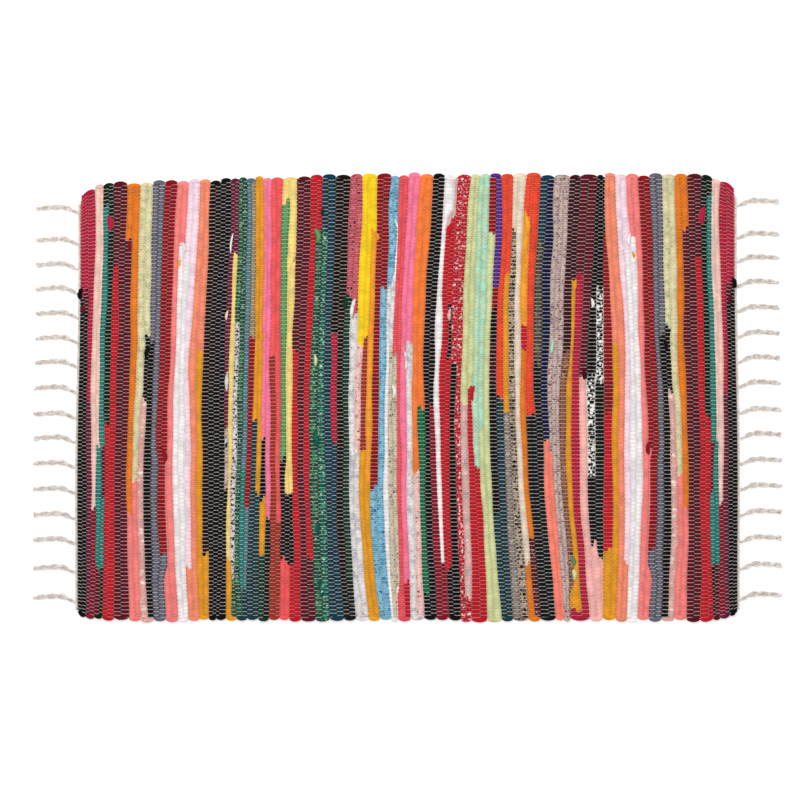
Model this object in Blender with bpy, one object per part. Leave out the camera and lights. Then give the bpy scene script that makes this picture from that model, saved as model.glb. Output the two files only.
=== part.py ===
"""A woven rag rug, 0.9 m by 0.6 m, lying flat on the floor.

Torn strips of cotton cloth are beaten in as weft and run across the rug, so the top is a row of
ribs side by side. The warp ends leave each short side as a narrow cream heading and are twisted
into sixteen tassels. Metres, Z up, with the origin on the floor under the middle of the rug.
"""

import math

import bmesh
import bpy
from mathutils import Vector

# Driving dimensions. X runs along the rug, Y across it, and the far edge is at positive Y.
WEAVE_LENGTH = 0.890
NEAR_EDGE = -0.3000
FAR_EDGE_LEFT = 0.2891
FAR_EDGE_RISE = 0.0109
RISE_START = 0.055
RISE_RUN = 0.341

ROW_COUNT = 117
CROWN_HEIGHT = 0.0066
VALLEY_HEIGHT = 0.0046
CROWN_UNEVENNESS = 0.0004
SHOULDERS = (0.27, 0.73)

LOBE_REACH = 0.0050
LOBE_HEIGHT = 0.0050
NOTCH_HEIGHT = 0.0034
LOBE_LENGTH = 0.009

FAR_CORNER_DROP = 0.026
NEAR_CORNER_DROP = 0.014
CORNER_RUN = 0.042
CORNER_SHARPNESS = 0.40

HEADING_WIDTH = 0.0047
HEADING_HEIGHT = 0.0038
HEADING_CORNER_GAP = 0.002
PART_GAP = 0.0003

FLOOR = 0.0

# Where some of the rag rows lie, in millimetres from the left end of the weave. Rags differ in
# thickness, so a row drifts sideways on its way across. Columns: row, then its left side at
# 0, 68, 212, 362, 519 and 600 mm from the far edge.
STATION_MM = (0, 68, 212, 362, 519, 600)
ROW_DRIFT_MM = (
    (0, 0, 0, 2, -2, -4, -4),
    (6, 45, 45, 41, 39, 37, 35),
    (12, 98, 97, 94, 87, 87, 91),
    (20, 162, 160, 154, 151, 150, 154),
    (28, 216, 215, 210, 206, 204, 205),
    (36, 260, 260, 258, 258, 258, 256),
    (44, 322, 321, 315, 311, 316, 319),
    (52, 392, 391, 385, 380, 384, 392),
    (60, 447, 443, 437, 436, 439, 442),
    (68, 508, 504, 498, 497, 501, 504),
    (76, 566, 565, 558, 558, 567, 573),
    (85, 645, 643, 638, 638, 648, 656),
    (94, 713, 713, 711, 711, 711, 713),
    (105, 792, 793, 796, 803, 803, 799),
    (111, 845, 845, 849, 851, 853, 855),
    (117, 890, 890, 888, 892, 894, 894),
)
MM = 0.001

# Where the tassels lie, in millimetres across the rug from its middle, counted from the far edge.
LEFT_TASSELS_MM = (258, 215, 181, 148, 115, 81, 48, 13, -22, -55, -89, -124, -159, -193, -232, -272)
RIGHT_TASSELS_MM = (267, 223, 191, 157, 123, 88, 54, 20, -16, -50, -85, -120, -155, -191, -228, -269)

# One tassel, from its root in the heading to its tip. Columns in millimetres: distance out from
# the rug's end, offset across the rug, radius.
TASSEL_SECTIONS_MM = (
    (-3.2, -7.0, 1.2),
    (1.5, -5.6, 1.8),
    (5.5, -3.6, 2.2),
    (9.5, -1.4, 2.7),
    (13.5, 0.3, 3.4),
    (18.0, 1.3, 3.9),
    (23.0, 1.6, 4.0),
    (28.0, 1.4, 3.9),
    (33.0, 1.1, 3.8),
    (38.0, 0.8, 3.7),
    (42.5, 0.5, 3.4),
    (46.0, 0.1, 2.9),
    (49.5, -0.3, 3.3),
    (52.5, -0.6, 3.0),
    (54.0, -0.8, 1.6),
)
TASSEL_TURN_PER_SECTION = math.radians(38)

MATERIALS = {
    "cotton_rags": ((0.42, 0.10, 0.09, 1.0), 0.95),
    "cream_warp": ((0.72, 0.66, 0.55, 1.0), 0.90),
}


def clear_scene():
    """Remove whatever the file holds."""
    for item in list(bpy.data.objects):
        bpy.data.objects.remove(item, do_unlink=True)


def make_collection(name):
    """A new collection in the scene."""
    group = bpy.data.collections.new(name)
    bpy.context.scene.collection.children.link(group)
    return group


def make_material(name):
    """A plain rough cloth material from the table."""
    colour, roughness = MATERIALS[name]
    material = bpy.data.materials.new(name)
    material.use_nodes = True
    shader = material.node_tree.nodes["Principled BSDF"]
    shader.inputs["Base Color"].default_value = colour
    shader.inputs["Roughness"].default_value = roughness
    shader.inputs["Metallic"].default_value = 0.0
    return material


def between(value, knots, results):
    """Straight-line reading of a table of knots."""
    if value <= knots[0]:
        return results[0]
    for low, high, start, end in zip(knots, knots[1:], results, results[1:]):
        if value <= high:
            return start + (end - start) * (value - low) / (high - low)
    return results[-1]


def row_side(row, station):
    """X of the left side of a row, which may be a part row, at one station across the rug."""
    rows = [line[0] for line in ROW_DRIFT_MM]
    sides = [line[1 + station] for line in ROW_DRIFT_MM]
    return between(row, rows, sides) * MM - WEAVE_LENGTH / 2


def corner_drop(x, drop):
    """How far the outline falls back near a rounded corner."""
    from_end = WEAVE_LENGTH / 2 - abs(x)
    run = min(max(from_end, 0.0) / CORNER_RUN, 1.0)
    return drop * (1.0 - run ** CORNER_SHARPNESS)


def far_edge(x):
    """Y of the notches along the far edge, which rises a little from left to right."""
    run = (x + WEAVE_LENGTH / 2 - RISE_START) / RISE_RUN
    run = min(max(run, 0.0), 1.0)
    rise = FAR_EDGE_RISE * run * run * (3 - 2 * run)
    return FAR_EDGE_LEFT + rise - corner_drop(x, FAR_CORNER_DROP)


def near_edge(x):
    """Y of the notches along the near edge."""
    return NEAR_EDGE + corner_drop(x, NEAR_CORNER_DROP)


def lobe(row_place, first_row):
    """0 in the notch between two turned rags and 1 at the middle of the turn of a pair of rows."""
    share = ((row_place - first_row) / 2) % 1.0
    return math.sin(math.pi * share)


def crown(row):
    """Height of one row's top: thick and thin rags alternate without a pattern."""
    return CROWN_HEIGHT + CROWN_UNEVENNESS * math.sin(2.4 * row) * math.cos(0.7 * row)


def row_columns():
    """Places across all rows: each row has its valley and two shoulders."""
    columns = []
    for row in range(ROW_COUNT):
        columns.append((row, VALLEY_HEIGHT))
        for shoulder in SHOULDERS:
            columns.append((row + shoulder, crown(row)))
    columns.append((ROW_COUNT, VALLEY_HEIGHT))
    return columns


def column_points(row_place, height):
    """Points of one column of the top, from the far edge to the near one."""
    middle = (NEAR_EDGE + FAR_EDGE_LEFT) / 2
    far_top = middle + STATION_MM[-1] * MM / 2
    far_x = row_side(row_place, 0)
    near_x = row_side(row_place, len(STATION_MM) - 1)
    far_lobe = lobe(row_place, 0)
    near_lobe = lobe(row_place, 1)
    far_y = far_edge(far_x)
    near_y = near_edge(near_x)

    def turn_height(share):
        return NOTCH_HEIGHT + (LOBE_HEIGHT - NOTCH_HEIGHT) * share

    points = [
        Vector((far_x, far_y + LOBE_REACH * far_lobe, turn_height(far_lobe))),
        Vector((far_x, far_y - LOBE_LENGTH, height)),
    ]
    for station in range(1, len(STATION_MM) - 1):
        y = far_top - STATION_MM[station] * MM
        points.append(Vector((row_side(row_place, station), y, height)))
    points.append(Vector((near_x, near_y + LOBE_LENGTH, height)))
    points.append(Vector((near_x, near_y - LOBE_REACH * near_lobe, turn_height(near_lobe))))
    return points


def woven_body(group):
    """The weave: a slab with its rag rows raised on top and its turned rags at the long edges."""
    columns = [column_points(place, height) for place, height in row_columns()]
    across = len(columns[0])
    mesh = bpy.data.meshes.new("woven_body")
    sheet = bmesh.new()
    bmesh.ops.create_grid(sheet, x_segments=len(columns) - 1, y_segments=across - 1, size=1.0)
    for index, vertex in enumerate(sorted(sheet.verts, key=lambda v: (round(v.co.x, 5), -v.co.y))):
        column, step = divmod(index, across)
        vertex.co = columns[column][step]
    rim = [edge for edge in sheet.edges if edge.is_boundary]
    wall = bmesh.ops.extrude_edge_only(sheet, edges=rim)
    skirt = [item for item in wall["geom"] if isinstance(item, bmesh.types.BMVert)]
    for vertex in skirt:
        vertex.co.z = FLOOR
    foot = [edge for edge in sheet.edges if edge.is_boundary]
    bmesh.ops.contextual_create(sheet, geom=foot)
    bmesh.ops.recalc_face_normals(sheet, faces=sheet.faces)
    sheet.to_mesh(mesh)
    sheet.free()
    body = bpy.data.objects.new("woven_body", mesh)
    body.data.materials.append(make_material("cotton_rags"))
    group.objects.link(body)
    return body


def rug_end(side, station):
    """X of the weave's short end on one side (-1 left, 1 right) at one station."""
    return row_side(0 if side < 0 else ROW_COUNT, station)


def heading_outline(side):
    """Outline of the heading: a narrow strip parted from the end of the weave by the gap."""
    middle = (NEAR_EDGE + FAR_EDGE_LEFT) / 2
    far_top = middle + STATION_MM[-1] * MM / 2
    last = len(STATION_MM) - 1
    far_y = far_edge(rug_end(side, 0)) - HEADING_CORNER_GAP
    near_y = near_edge(rug_end(side, last)) + HEADING_CORNER_GAP
    inner = [(rug_end(side, 0), far_y)]
    for station in range(1, last):
        inner.append((rug_end(side, station), far_top - STATION_MM[station] * MM))
    inner.append((rug_end(side, last), near_y))
    near_side = [Vector((x + side * PART_GAP, y, 0)) for x, y in inner]
    far_side = [Vector((x + side * (PART_GAP + HEADING_WIDTH), y, 0)) for x, y in reversed(inner)]
    return near_side + far_side


def curve_to_mesh(curve_object):
    """Turn a curve into a closed mesh object in the same place."""
    graph = bpy.context.evaluated_depsgraph_get()
    mesh = bpy.data.meshes.new_from_object(curve_object.evaluated_get(graph))
    work = bmesh.new()
    work.from_mesh(mesh)
    bmesh.ops.remove_doubles(work, verts=work.verts, dist=0.00001)
    bmesh.ops.recalc_face_normals(work, faces=work.faces)
    work.to_mesh(mesh)
    work.free()
    solid = bpy.data.objects.new(curve_object.name + "_solid", mesh)
    solid.matrix_world = curve_object.matrix_world
    bpy.data.objects.remove(curve_object, do_unlink=True)
    return solid


def heading_strip(side, group):
    """The cream heading as a flat outline raised to its height."""
    outline = bpy.data.curves.new("heading", "CURVE")
    outline.dimensions = "2D"
    outline.fill_mode = "BOTH"
    outline.extrude = HEADING_HEIGHT / 2
    points = heading_outline(side)
    spline = outline.splines.new("POLY")
    spline.points.add(len(points) - 1)
    for place, point in zip(spline.points, points):
        place.co = (point.x, point.y, 0.0, 1.0)
    spline.use_cyclic_u = True
    strip = bpy.data.objects.new("heading", outline)
    strip.location.z = FLOOR + HEADING_HEIGHT / 2
    group.objects.link(strip)
    bpy.context.view_layer.update()
    return curve_to_mesh(strip)


def tassel_rope(side, across, end_x, group, number):
    """One twisted tassel of four sides lying on the floor, as a curve with its own radii."""
    rope = bpy.data.curves.new("tassel_%d" % number, "CURVE")
    rope.dimensions = "3D"
    rope.bevel_depth = 1.0
    rope.bevel_resolution = 0
    rope.use_fill_caps = True
    spline = rope.splines.new("POLY")
    spline.points.add(len(TASSEL_SECTIONS_MM) - 1)
    for index, (out, offset, radius) in enumerate(TASSEL_SECTIONS_MM):
        x = end_x + side * (PART_GAP + HEADING_WIDTH + out * MM)
        y = across + offset * MM
        spline.points[index].co = (x, y, FLOOR + radius * MM, 1.0)
        spline.points[index].radius = radius * MM
        spline.points[index].tilt = index * TASSEL_TURN_PER_SECTION
    item = bpy.data.objects.new("tassel_%d" % number, rope)
    group.objects.link(item)
    bpy.context.view_layer.update()
    return curve_to_mesh(item)


def end_x_at(side, y):
    """X of the weave's end at a place across the rug."""
    middle = (NEAR_EDGE + FAR_EDGE_LEFT) / 2
    from_far = (middle + STATION_MM[-1] * MM / 2 - y) / MM
    ends = [rug_end(side, station) for station in range(len(STATION_MM))]
    return between(from_far, STATION_MM, ends)


def join_meshes(solids, name):
    """One mesh object from several separate closed solids."""
    work = bmesh.new()
    for solid in solids:
        part = solid.data.copy()
        part.transform(solid.matrix_world)
        work.from_mesh(part)
        bpy.data.meshes.remove(part)
        bpy.data.objects.remove(solid, do_unlink=True)
    mesh = bpy.data.meshes.new(name)
    work.to_mesh(mesh)
    work.free()
    return bpy.data.objects.new(name, mesh)


def fringe(name, side, tassels_mm, group, cutters):
    """A heading strip with its sixteen tassels fused to it."""
    strip = heading_strip(side, group)
    strip.name = name
    strip.data.name = name
    group.objects.link(strip)
    ropes = []
    for number, across_mm in enumerate(tassels_mm):
        across = across_mm * MM
        end_x = end_x_at(side, across)
        ropes.append(tassel_rope(side, across, end_x, group, number))
    tassels = join_meshes(ropes, name + "_tassels")
    cutters.objects.link(tassels)
    tassels.hide_render = True
    tassels.display_type = "WIRE"
    union = strip.modifiers.new("tassels", "BOOLEAN")
    union.operation = "UNION"
    union.solver = "EXACT"
    union.object = tassels
    strip.data.materials.append(make_material("cream_warp"))
    return strip


clear_scene()
rug_group = make_collection("woven_rag_rug")
cutter_group = make_collection("cutters")
woven_body(rug_group)
fringe("fringe_left", -1, LEFT_TASSELS_MM, rug_group, cutter_group)
fringe("fringe_right", 1, RIGHT_TASSELS_MM, rug_group, cutter_group)
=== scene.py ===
"""The looks of a woven rag rug, 0.9 m by 0.6 m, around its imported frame. Metres, Z up.

X runs along the rug and Y across it. The rags run across the rug, side by side from the left
fringe to the right one, and the warp threads run along it.
"""

import math

import bpy
import numpy as np
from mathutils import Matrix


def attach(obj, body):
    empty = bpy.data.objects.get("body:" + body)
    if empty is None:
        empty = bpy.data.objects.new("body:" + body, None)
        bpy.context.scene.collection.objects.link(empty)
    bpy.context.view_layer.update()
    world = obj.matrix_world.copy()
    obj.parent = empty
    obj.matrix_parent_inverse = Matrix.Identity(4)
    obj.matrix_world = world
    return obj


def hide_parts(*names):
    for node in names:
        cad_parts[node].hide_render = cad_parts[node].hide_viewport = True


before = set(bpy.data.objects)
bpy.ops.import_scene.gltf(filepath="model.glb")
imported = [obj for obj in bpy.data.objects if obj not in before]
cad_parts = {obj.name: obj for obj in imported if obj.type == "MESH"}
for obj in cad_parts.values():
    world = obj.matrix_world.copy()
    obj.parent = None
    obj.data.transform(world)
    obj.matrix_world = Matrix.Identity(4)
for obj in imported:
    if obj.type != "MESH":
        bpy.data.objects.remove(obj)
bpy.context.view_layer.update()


# The weft is torn strips of worn cotton clothes, 119 rows of them, laid in across the rug and
# beaten close. A strip shows as a rounded rib, pressed in by every second warp thread that
# crosses it. Where one cloth runs out, the next is laid in beside its tapered end.
MM = 0.001
WEAVE_LENGTH_MM = 890
NEAR_EDGE = -0.3000
FAR_EDGE_LEFT = 0.2891
FAR_EDGE_RISE = 0.0109
RISE_START = 0.055
RISE_RUN = 0.341
FAR_CORNER_DROP = 0.026
NEAR_CORNER_DROP = 0.011
CORNER_RUN = 0.042
CORNER_SHARPNESS = 0.40
CORNER_FADE = 0.090
THREAD_WANDER = 0.00022
EDGE_MARGIN = 0.0006

ROWS = 119
THREADS = 228
RINGS_A_BITE = 3
ROW_SHARES = {"sliver": 0.12, "thin": 0.55}
SHARE_FADE_MM = 21
STATION_STEP_MM = 3.0
ROW_WANDER_MM = 0.55
WANDER_LENGTH_MM = 42

# Where rows lie, in millimetres from the left end of the weave. Rags differ in thickness, so a
# row drifts sideways on its way. Columns: row, then its left side at each station across the
# rug, in millimetres from the far edge.
STATION_MM = (0, 68, 212, 362, 519, 600)
ROW_PLACES_MM = (
    (0, 0, 0, -1, -4, -4, -4),
    (3, 20, 20, 15, 14, 14, 12),
    (7, 45, 45, 41, 39, 37, 35),
    (10, 73, 70, 68, 63, 63, 65),
    (13, 98, 97, 94, 87, 87, 91),
    (18, 140, 135, 130, 125, 129, 132),
    (21, 162, 160, 149, 150, 150, 154),
    (24, 184, 183, 176, 174, 174, 175),
    (27, 205, 204, 197, 196, 192, 189),
    (29, 216, 215, 209, 206, 204, 205),
    (33, 238, 238, 237, 233, 227, 227),
    (37, 260, 260, 258, 258, 258, 256),
    (39, 275, 273, 272, 272, 272, 271),
    (42, 296, 295, 289, 288, 290, 291),
    (45, 322, 321, 315, 311, 316, 319),
    (47, 337, 337, 333, 333, 337, 339),
    (49, 358, 356, 350, 350, 352, 359),
    (51, 375, 374, 367, 366, 369, 375),
    (53, 392, 391, 385, 380, 384, 392),
    (55, 404, 403, 399, 396, 398, 407),
    (57, 422, 419, 416, 414, 416, 423),
    (59, 434, 432, 426, 425, 428, 431),
    (61, 447, 443, 437, 436, 439, 442),
    (63, 463, 458, 452, 452, 456, 457),
    (65, 481, 476, 468, 469, 473, 477),
    (67, 496, 492, 483, 483, 490, 493),
    (70, 514, 510, 505, 503, 505, 509),
    (72, 531, 526, 520, 518, 523, 525),
    (73, 538, 534, 528, 528, 532, 533),
    (75, 550, 547, 543, 543, 551, 554),
    (77, 566, 565, 558, 558, 567, 573),
    (79, 582, 581, 575, 577, 583, 589),
    (81, 597, 594, 591, 594, 604, 611),
    (83, 615, 611, 608, 608, 620, 627),
    (84, 626, 623, 617, 622, 631, 638),
    (86, 645, 643, 638, 638, 648, 656),
    (89, 666, 663, 657, 653, 663, 666),
    (91, 681, 677, 672, 668, 677, 683),
    (93, 704, 700, 692, 690, 696, 703),
    (95, 711, 711, 712, 713, 711, 711),
)

# The plain cloths that the rags were torn from.
PLAIN_CLOTHS = {
    "crimson": "#B01C3C", "maroon": "#5E0C1E", "dark maroon": "#3E0A1A", "burgundy": "#681638",
    "dark crimson": "#8A0C26", "dark red": "#900A16", "red": "#BC1424", "brick": "#9E3020",
    "coral red": "#EA585A", "orange red": "#E4482A", "coral": "#F3827E", "salmon": "#F08C6E",
    "rose salmon": "#FA8672", "pink": "#F27A9A", "light pink": "#F4B4AC", "blush": "#EEC6B8",
    "pale pink": "#F5D6E2", "violet": "#562A88", "orange": "#E07818",
    "light orange": "#F47E38", "amber": "#EE9E2C", "mustard": "#E0981C", "yellow": "#F8CE1C",
    "pale yellow": "#F0D27E", "cream": "#E4D2BE", "white": "#EEE8E8",
    "pale green": "#CCD29A", "green": "#5A965C", "emerald": "#0D6A48", "dark green": "#0E3A28",
    "bottle green": "#04200F", "teal": "#1E7C74", "dark teal": "#113A44", "navy teal": "#0A3A4C",
    "steel teal": "#557983", "navy": "#0B1440", "grey": "#666674",
    "black": "#0A080C", "brown black": "#1A0908", "navy black": "#090912", "teal black": "#0B1317",
    "bright coral": "#E2525A", "grey green": "#94886A", "green black": "#0E150D",
}

# The printed and flecked ones. Columns: the ground's colour, the colour of the print's broad
# patches and the share they cover, the colour of its small flecks and the share they cover.
PRINTED_CLOTHS = {
    "light blue": ("#80B6CE", "#5797B4", 0.42, "#2C6480", 0.26),
    "dusty rose": ("#C05562", "#CC707A", 0.34, "#1E2412", 0.28),
    "cream print": ("#DCD2A8", "#B9C08A", 0.34, "#8A5A48", 0.16),
    "dusty pink print": ("#DCA8A0", "#F0DCD2", 0.34, "#8E5A4E", 0.20),
    "green print": ("#164C3A", "#2F764C", 0.42, "#9CC2A0", 0.24),
    "bright green print": ("#0C5A4E", "#1F7C66", 0.38, "#9FD3B2", 0.27),
    "lilac print": ("#D9CFD0", "#B5A9AC", 0.36, "#2A2230", 0.40),
    "beige print": ("#CCBEA8", "#A89A8C", 0.34, "#5A4A44", 0.26),
    "grey white print": ("#E2DCDA", "#C2BCC2", 0.40, "#7E7A86", 0.18),
    "red flecked": ("#B4182A", "#C83A44", 0.30, "#F2DCD6", 0.30),
    "pink red print": ("#ECC2BA", "#DC9A94", 0.30, "#B42838", 0.26),
    "pink grey": ("#D8B0AA", "#BCA4A0", 0.40, "#F0E0DA", 0.22),
    "pink grey print": ("#C2ACA4", "#A0848A", 0.36, "#6E2A3A", 0.28),
    "olive print": ("#47453A", "#66624C", 0.36, "#A8A48A", 0.20),
    "black white print": ("#F0ECE5", "#CFCAC2", 0.24, "#171412", 0.49),
    "tweed print": ("#AE9E8B", "#6E6052", 0.40, "#1A1410", 0.40),
    "dotted black print": ("#0F1512", "#16201C", 0.30, "#D9D8D0", 0.16),
    "mint": ("#B6D5B4", "#A3DAC2", 0.42, "#3C8A80", 0.09),
    "brown print": ("#8A5A48", "#B08A74", 0.30, "#33201C", 0.28),
    "grey print": ("#8A7E78", "#B4AAA2", 0.34, "#34302E", 0.26),
    "maroon print": ("#56121E", "#7A2430", 0.30, "#E0A8A0", 0.24),
}

# Which cloths lie in each row, counted from the left end. Each entry is where a cloth starts, in
# millimetres from the far edge, and its name. A thin rag takes about half a row's room, and a
# sliver is so thin that its neighbours nearly close over it.
ROW_CLOTHS = (
    ((0, "sliver crimson"), (150, "black")),
    ((0, "crimson"), (143, "maroon"), (171, "black")),
    ((0, "crimson"), (301, "burgundy")),
    ((0, "blush"), (449, "dark crimson")),
    ((0, "thin blush"), (363, "teal"), (533, "maroon")),
    ((0, "bottle green"), (27, "teal"), (366, "thin maroon"), (434, "teal"), (533, "thin bottle green")),
    ((0, "bottle green"), (332, "red")),
    ((0, "maroon"), (112, "red")),
    ((0, "maroon"),),
    ((0, "orange"), (75, "maroon")),
    ((0, "orange"), (455, "coral")),
    ((0, "cream print"), (410, "coral")),
    ((0, "cream print"), (208, "thin black"), (296, "dusty pink print")),
    ((0, "grey"), (219, "black")),
    ((0, "grey"),),
    ((0, "dark red"), (512, "grey")),
    ((0, "dark red"), (375, "sliver coral"), (540, "coral")),
    ((0, "coral"),),
    ((0, "coral"), (85, "white")),
    ((0, "pale pink"), (109, "white")),
    ((0, "pale pink"), (530, "salmon")),
    ((0, "salmon"),),
    ((0, "salmon"), (231, "mustard")),
    ((0, "brown black"), (512, "mustard")),
    ((0, "brown black"), (301, "black")),
    ((0, "navy black"), (301, "black")),
    ((0, "navy black"), (301, "black")),
    ((0, "burgundy"), (340, "pink grey print"), (423, "black")),
    ((0, "burgundy"), (98, "pale yellow"), (520, "mustard")),
    ((0, "green print"), (194, "lilac print"), (546, "green print")),
    ((0, "green print"),),
    ((0, "steel teal"), (396, "teal"), (560, "sliver teal")),
    ((0, "grey green"), (213, "dark red"), (448, "steel teal"), (560, "dark teal")),
    ((0, "mustard"), (328, "dark teal")),
    ((0, "mustard"), (430, "dark teal")),
    ((0, "pink"), (355, "black"), (437, "mustard"), (515, "dark green")),
    ((0, "pink"), (464, "green black")),
    ((0, "coral red"), (242, "brick")),
    ((0, "coral red"), (471, "brick")),
    ((0, "pale yellow"), (30, "green"), (382, "brown black"), (519, "coral red")),
    ((0, "pale yellow"), (120, "sliver pale yellow"), (395, "pale yellow"), (430, "black"),
     (526, "coral red")),
    ((0, "sliver maroon"), (112, "pale yellow"), (430, "black"), (526, "red")),
    ((0, "maroon"), (235, "red")),
    ((0, "maroon"),),
    ((0, "red"), (519, "maroon")),
    ((0, "red"), (72, "green print")),
    ((0, "navy teal"), (71, "bright green print")),
    ((0, "navy teal"), (301, "navy teal")),
    ((0, "brown black"), (212, "crimson"), (362, "navy teal")),
    ((0, "brown black"), (560, "dotted black print")),
    ((0, "dusty rose"), (160, "dark green"), (550, "dotted black print")),
    ((0, "dusty rose"), (187, "grey white print")),
    ((0, "yellow"), (228, "pink red print"), (372, "grey white print")),
    ((0, "sliver yellow"), (72, "yellow"), (219, "brick"), (372, "mustard")),
    ((0, "yellow"), (72, "amber"), (410, "mustard")),
    ((0, "dark red"), (423, "light blue")),
    ((0, "dark red"), (150, "light blue")),
    ((0, "light blue"), (150, "grey white print"), (228, "white")),
    ((0, "light blue"), (60, "sliver white"), (140, "grey white print"), (232, "beige print")),
    ((0, "bright coral"), (242, "beige print"), (560, "sliver white")),
    ((0, "bright coral"),),
    ((0, "pink"), (550, "red")),
    ((0, "pink"), (225, "grey white print")),
    ((0, "light orange"), (402, "pink red print")),
    ((0, "light orange"), (314, "emerald"), (568, "black")),
    ((0, "black"),),
    ((0, "black"), (310, "dark crimson")),
    ((0, "white"), (525, "dark crimson")),
    ((0, "sliver pink grey"), (52, "pink grey"), (71, "red"), (526, "sliver red")),
    ((0, "sliver pink grey"), (52, "red"), (173, "thin black"), (246, "red"), (533, "black")),
    ((0, "red flecked"), (253, "black")),
    ((0, "red flecked"),),
    ((0, "pale green"), (309, "pink grey"), (574, "red flecked")),
    ((0, "pale green"), (285, "thin red"), (375, "red")),
    ((0, "mint"), (396, "red")),
    ((0, "mint"), (342, "pale green")),
    ((0, "dark red"), (75, "pale green")),
    ((0, "violet"), (150, "dark red"), (178, "black"), (225, "dark maroon"), (280, "black"),
     (458, "dark teal")),
    ((0, "orange red"), (301, "dark teal")),
    ((0, "orange red"), (130, "mustard"), (321, "grey print")),
    ((0, "cream"), (71, "tweed print")),
    ((0, "cream"), (526, "orange")),
    ((0, "orange red"), (49, "amber"), (201, "red"), (235, "orange"), (492, "maroon print")),
    ((0, "orange red"), (324, "teal black")),
    ((0, "navy teal"), (85, "olive print"), (253, "teal black")),
    ((0, "navy"), (359, "rose salmon")),
    ((0, "pink grey print"), (376, "rose salmon")),
    ((0, "sliver pink grey print"), (27, "pink grey print")),
    ((0, "pink grey print"),),
    ((0, "dark maroon"), (239, "brown print"), (560, "sliver brown print")),
    ((0, "dark maroon"), (141, "thin mustard"), (270, "mustard"), (590, "crimson")),
    ((0, "maroon"), (134, "crimson")),
    ((0, "maroon"), (273, "light pink")),
    ((0, "black"), (270, "black white print"), (407, "black"), (499, "light pink")),
    ((0, "black"), (150, "black white print"), (280, "green black"), (519, "sliver light pink")),
    ((0, "sliver black"), (75, "sliver dark red"), (150, "dark red"), (321, "red"), (508, "mustard")),
)

# The right end repeats the left end's strips in the opposite order, a little nearer the far edge.
MIRRORED_ROWS = 23
MIRROR_SHIFT_MM = 5


def shifted(stretches):
    return tuple((max(start - MIRROR_SHIFT_MM, 0), cloth) for start, cloth in stretches)


row_cloths = ROW_CLOTHS + tuple(shifted(ROW_CLOTHS[row]) for row in reversed(range(MIRRORED_ROWS)))


def smooth_way(places, knots, values):
    """The value at each place on a curve through the values at the knots."""
    knots = np.asarray(knots, float)
    values = np.asarray(values, float)
    slopes = np.gradient(values, knots)
    cell = np.clip(np.searchsorted(knots, places) - 1, 0, len(knots) - 2)
    width = knots[cell + 1] - knots[cell]
    run = (places - knots[cell]) / width
    start = values[cell] + run * width * slopes[cell]
    end = values[cell + 1] + (run - 1) * width * slopes[cell + 1]
    ease = run * run * (3 - 2 * run)
    return start + (end - start) * ease


stations_mm = np.arange(0.0, STATION_MM[-1] + 1.0, STATION_STEP_MM)


def row_share(row):
    """How much room the row takes at each station, set against a full rag."""
    share = np.ones(len(stations_mm))
    for start, cloth in row_cloths[row]:
        share[stations_mm >= start] = ROW_SHARES.get(cloth.split()[0], 1.0)
    window = np.ones(int(SHARE_FADE_MM / STATION_STEP_MM))
    padded = np.pad(share, len(window) // 2, mode="edge")
    return np.convolve(padded, window / len(window), mode="valid")[:len(stations_mm)]


# Left side of every row at every station, in millimetres, and of the right end after them.
row_sides = np.zeros((ROWS + 1, len(stations_mm)))
for (first, *first_mm), (last, *last_mm) in zip(ROW_PLACES_MM, ROW_PLACES_MM[1:]):
    left = smooth_way(stations_mm, STATION_MM, first_mm)
    right = smooth_way(stations_mm, STATION_MM, last_mm)
    room = np.cumsum([row_share(row) for row in range(first, last)], axis=0)
    row_sides[first] = left
    row_sides[first + 1:last + 1] = left + (right - left) * room / room[-1]
row_sides[ROWS - MIRRORED_ROWS:] = WEAVE_LENGTH_MM - row_sides[MIRRORED_ROWS::-1]

# A rag is thicker here and thinner there, so each side of a row wanders a little.
draw = np.random.default_rng(11)
wander_knots = np.arange(0.0, STATION_MM[-1] + WANDER_LENGTH_MM, WANDER_LENGTH_MM)
for side in range(1, ROWS):
    wander = draw.normal(0.0, ROW_WANDER_MM, len(wander_knots))
    room = np.minimum(row_sides[side] - row_sides[side - 1], row_sides[side + 1] - row_sides[side])
    row_sides[side] += np.clip(smooth_way(stations_mm, wander_knots, wander), -room / 3, room / 3)


def corner_drop(x, drop):
    """How far the rag turns at a corner fall short of the straight edge."""
    from_end = WEAVE_LENGTH_MM * MM / 2 - np.abs(x)
    run = np.clip(from_end / CORNER_RUN, 0.0, 1.0)
    return drop * (1.0 - run ** CORNER_SHARPNESS)


def weave_y(x, thread):
    """Where a warp thread, or a place between two threads, lies at x."""
    run = np.clip((x + WEAVE_LENGTH_MM * MM / 2 - RISE_START) / RISE_RUN, 0.0, 1.0)
    far = FAR_EDGE_LEFT + FAR_EDGE_RISE * run * run * (3 - 2 * run) - EDGE_MARGIN
    near = NEAR_EDGE + EDGE_MARGIN
    share = thread / (THREADS - 1)
    span = far - near
    far_bend = corner_drop(x, FAR_CORNER_DROP) * np.exp(-share * span / CORNER_FADE)
    near_bend = corner_drop(x, NEAR_CORNER_DROP) * np.exp(-(1 - share) * span / CORNER_FADE)
    wander = THREAD_WANDER * (np.sin(190 * x + 0.9 * thread) + np.sin(83 * x - 0.37 * thread))
    return far - share * span - far_bend + near_bend + wander


def station_of(thread):
    return np.clip(thread / (THREADS - 1), 0.0, 1.0) * stations_mm[-1]


def side_x(side, thread):
    """X of the left side of a row where a warp thread crosses it."""
    return (np.interp(station_of(thread), stations_mm, row_sides[side]) - WEAVE_LENGTH_MM / 2) * MM


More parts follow.
